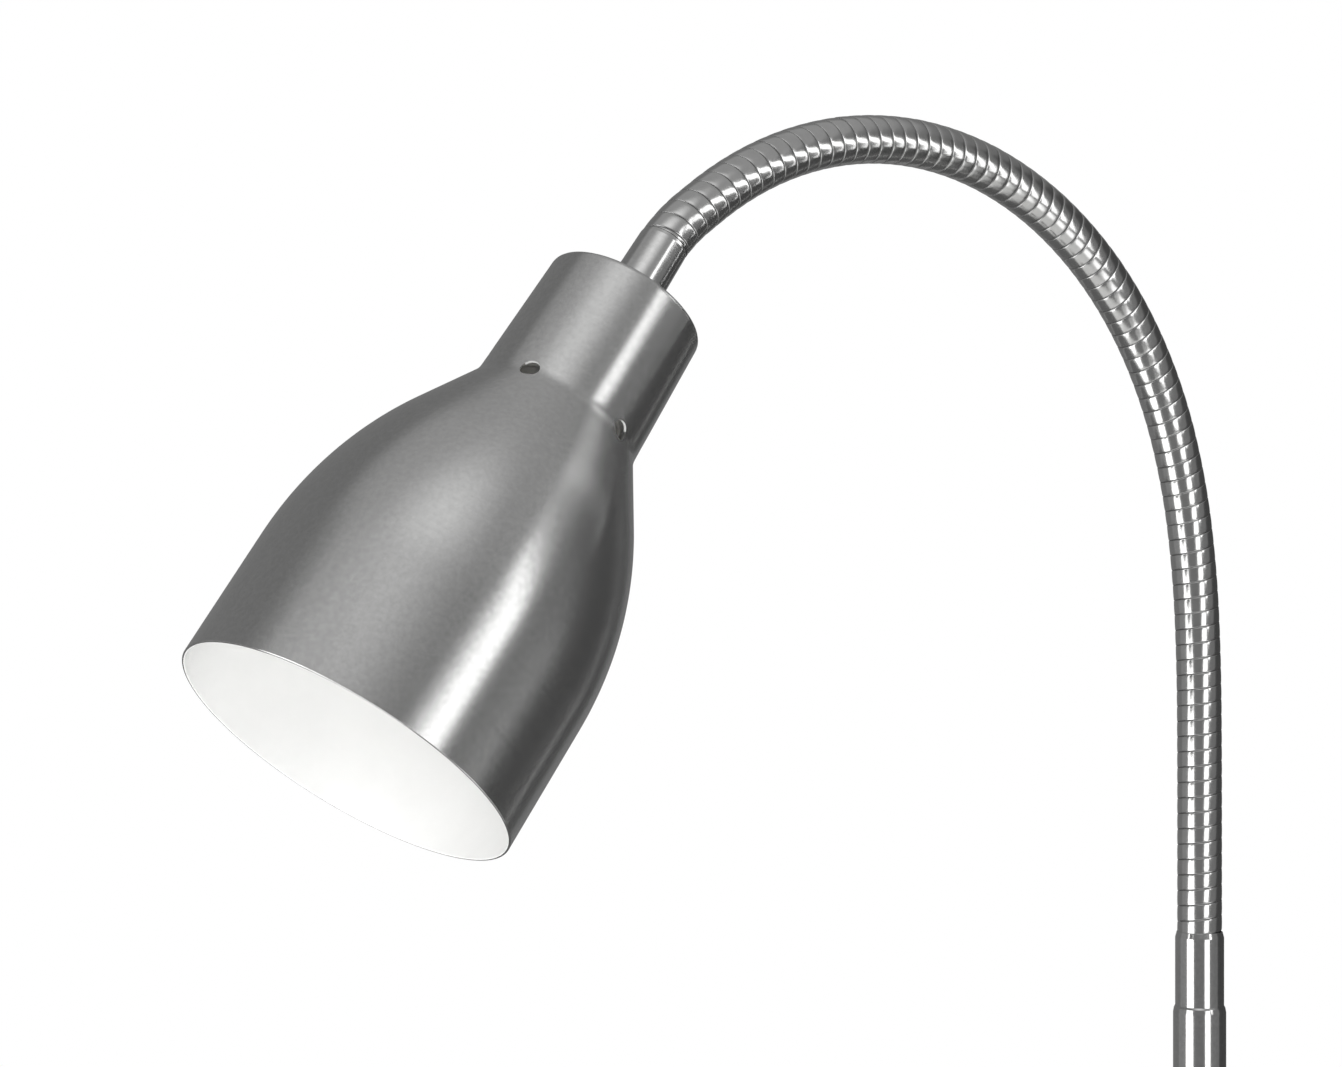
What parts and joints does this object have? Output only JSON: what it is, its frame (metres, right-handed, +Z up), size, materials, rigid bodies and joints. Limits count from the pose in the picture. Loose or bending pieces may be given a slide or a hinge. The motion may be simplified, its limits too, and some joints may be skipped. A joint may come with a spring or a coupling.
{
  "type": "floor lamp",
  "caption": "Reading floor lamp: round weighted base, straight pole, bending gooseneck arched over to a bell-shaped spun shade with a screw-in bulb.",
  "frame": {"origin": "centre of the underside of the base, on the floor, on the pole axis", "axes": "+Z up along the pole; the neck arches over towards -X in the XZ plane, and the cord inlet is at the back, towards +X"},
  "size_m": [0.5329, 0.24, 1.4599],
  "materials": {
    "satin_nickel": "satin brushed nickel plate",
    "neck_strip": "bright nickel plate on wound steel strip",
    "zinc_steel": "dull zinc plate",
    "cast_iron": "rough cast",
    "soft_pad": "matt foam",
    "grommet_rubber": "matt",
    "lead_sheath": "satin sheath",
    "holder_plastic": "matt moulded",
    "core_ceramic": "matt moulded",
    "brass": "bright",
    "bulb_metal": "bright rolled",
    "bulb_glass": "glazed",
    "bulb_plastic": "satin moulded",
    "bulb_frost": "frosted"
  },
  "bodies": {
    "stand": {"base_cover": "satin_nickel", "base_weight": "cast_iron", "base_pad": "soft_pad", "cord_grommet": "grommet_rubber", "base_nipple": "zinc_steel", "base_washer": "zinc_steel", "base_nut": "zinc_steel", "pole_foot": "satin_nickel", "pole_section_1": "satin_nickel", "pole_section_2": "satin_nickel", "pole_section_3": "satin_nickel", "pole_joints": "zinc_steel", "pole_lead": "lead_sheath", "neck_sleeve": "satin_nickel"},
    "link_01": {"neck_link_01": "neck_strip", "neck_lead_01": "lead_sheath"},
    "link_02": {"neck_link_02": "neck_strip", "neck_lead_02": "lead_sheath"},
    "link_03": {"neck_link_03": "neck_strip", "neck_lead_03": "lead_sheath"},
    "link_04": {"neck_link_04": "neck_strip", "neck_lead_04": "lead_sheath"},
    "link_05": {"neck_link_05": "neck_strip", "neck_lead_05": "lead_sheath"},
    "link_06": {"neck_link_06": "neck_strip", "neck_lead_06": "lead_sheath"},
    "link_07": {"neck_link_07": "neck_strip", "neck_lead_07": "lead_sheath"},
    "link_08": {"neck_link_08": "neck_strip", "neck_lead_08": "lead_sheath"},
    "link_09": {"neck_link_09": "neck_strip", "neck_lead_09": "lead_sheath"},
    "link_10": {"neck_link_10": "neck_strip", "neck_lead_10": "lead_sheath"},
    "link_11": {"neck_link_11": "neck_strip", "neck_lead_11": "lead_sheath"},
    "link_12": {"neck_link_12": "neck_strip", "neck_lead_12": "lead_sheath"},
    "link_13": {"neck_link_13": "neck_strip", "neck_lead_13": "lead_sheath"},
    "link_14": {"neck_link_14": "neck_strip", "neck_lead_14": "lead_sheath"},
    "head": {"head_ferrule": "satin_nickel", "shade_shell": "satin_nickel", "shade_nipple": "zinc_steel", "shade_washer": "zinc_steel", "shade_nut": "zinc_steel", "head_lead": "lead_sheath", "lampholder_cap": "holder_plastic", "lampholder_skirt": "holder_plastic", "lampholder_core": "core_ceramic", "lampholder_screw_shell": "brass", "lampholder_contact": "brass", "lampholder_screws": "brass"},
    "bulb": {"bulb_cap": "bulb_metal", "bulb_insulator": "bulb_glass", "bulb_contact": "brass", "bulb_housing": "bulb_plastic", "bulb_diffuser": "bulb_frost"}
  },
  "joints": [
    {"name": "lower_bend", "type": "hinge", "parent": "stand", "child": "link_01", "pos_m": [0, 0, 1.17258], "axis": [0, 1, 0], "range_deg": [-10, 12]},
    {"name": "lower_sway", "type": "hinge", "parent": "link_01", "child": "link_02", "pos_m": [0, 0, 1.20586], "axis": [1, 0, 0], "range_deg": [-18, 18]},
    {"name": "lower_bend_2", "type": "hinge", "parent": "link_02", "child": "link_03", "pos_m": [0, 0, 1.23915], "axis": [0, 1, 0], "range_deg": [-10, 12]},
    {"name": "lower_sway_2", "type": "hinge", "parent": "link_03", "child": "link_04", "pos_m": [-0.00034, 0, 1.27243], "axis": [0.9993, 0, 0.0364], "range_deg": [-18, 18]},
    {"name": "lower_bend_3", "type": "hinge", "parent": "link_04", "child": "link_05", "pos_m": [-0.00243, 0, 1.30565], "axis": [0, 1, 0], "range_deg": [-10, 12]},
    {"name": "middle_bend", "type": "hinge", "parent": "link_05", "child": "link_06", "pos_m": [-0.00821, 0, 1.33843], "axis": [0, 1, 0], "range_deg": [-5, 13]},
    {"name": "middle_bend_2", "type": "hinge", "parent": "link_06", "child": "link_07", "pos_m": [-0.01954, 0, 1.36973], "axis": [0, 1, 0], "range_deg": [-5, 13]},
    {"name": "middle_bend_3", "type": "hinge", "parent": "link_07", "child": "link_08", "pos_m": [-0.03734, 0, 1.39786], "axis": [0, 1, 0], "range_deg": [-5, 13]},
    {"name": "middle_bend_4", "type": "hinge", "parent": "link_08", "child": "link_09", "pos_m": [-0.06109, 0, 1.42118], "axis": [0, 1, 0], "range_deg": [-5, 13]},
    {"name": "middle_bend_5", "type": "hinge", "parent": "link_09", "child": "link_10", "pos_m": [-0.08954, 0, 1.43845], "axis": [0, 1, 0], "range_deg": [-5, 13]},
    {"name": "upper_bend", "type": "hinge", "parent": "link_10", "child": "link_11", "pos_m": [-0.12118, 0, 1.44878], "axis": [0, 1, 0], "range_deg": [-6, 13]},
    {"name": "upper_bend_2", "type": "hinge", "parent": "link_11", "child": "link_12", "pos_m": [-0.15435, 0, 1.45161], "axis": [0, 1, 0], "range_deg": [-6, 13]},
    {"name": "upper_bend_3", "type": "hinge", "parent": "link_12", "child": "link_13", "pos_m": [-0.18728, 0, 1.4468], "axis": [0, 1, 0], "range_deg": [-6, 13]},
    {"name": "upper_bend_4", "type": "hinge", "parent": "link_13", "child": "link_14", "pos_m": [-0.21825, 0, 1.43459], "axis": [0, 1, 0], "range_deg": [-6, 13]},
    {"name": "head_sway", "type": "hinge", "parent": "link_14", "child": "head", "pos_m": [-0.24561, 0, 1.41563], "axis": [-0.6891, 0, 0.7247], "range_deg": [-18, 18]},
    {"name": "bulb_removal", "type": "slide", "parent": "head", "child": "bulb", "axis": [-0.6101, 0, -0.7923], "range_m": [0, 0.17]}
  ],
  "couplings": [
    {"joint": "lower_bend_2", "follows": "lower_bend", "ratio": 1},
    {"joint": "lower_bend_3", "follows": "lower_bend", "ratio": 1},
    {"joint": "lower_sway_2", "follows": "lower_sway", "ratio": 1},
    {"joint": "middle_bend_2", "follows": "middle_bend", "ratio": 1},
    {"joint": "middle_bend_3", "follows": "middle_bend", "ratio": 1},
    {"joint": "middle_bend_4", "follows": "middle_bend", "ratio": 1},
    {"joint": "middle_bend_5", "follows": "middle_bend", "ratio": 1},
    {"joint": "upper_bend_2", "follows": "upper_bend", "ratio": 1},
    {"joint": "upper_bend_3", "follows": "upper_bend", "ratio": 1},
    {"joint": "upper_bend_4", "follows": "upper_bend", "ratio": 1}
  ]
}
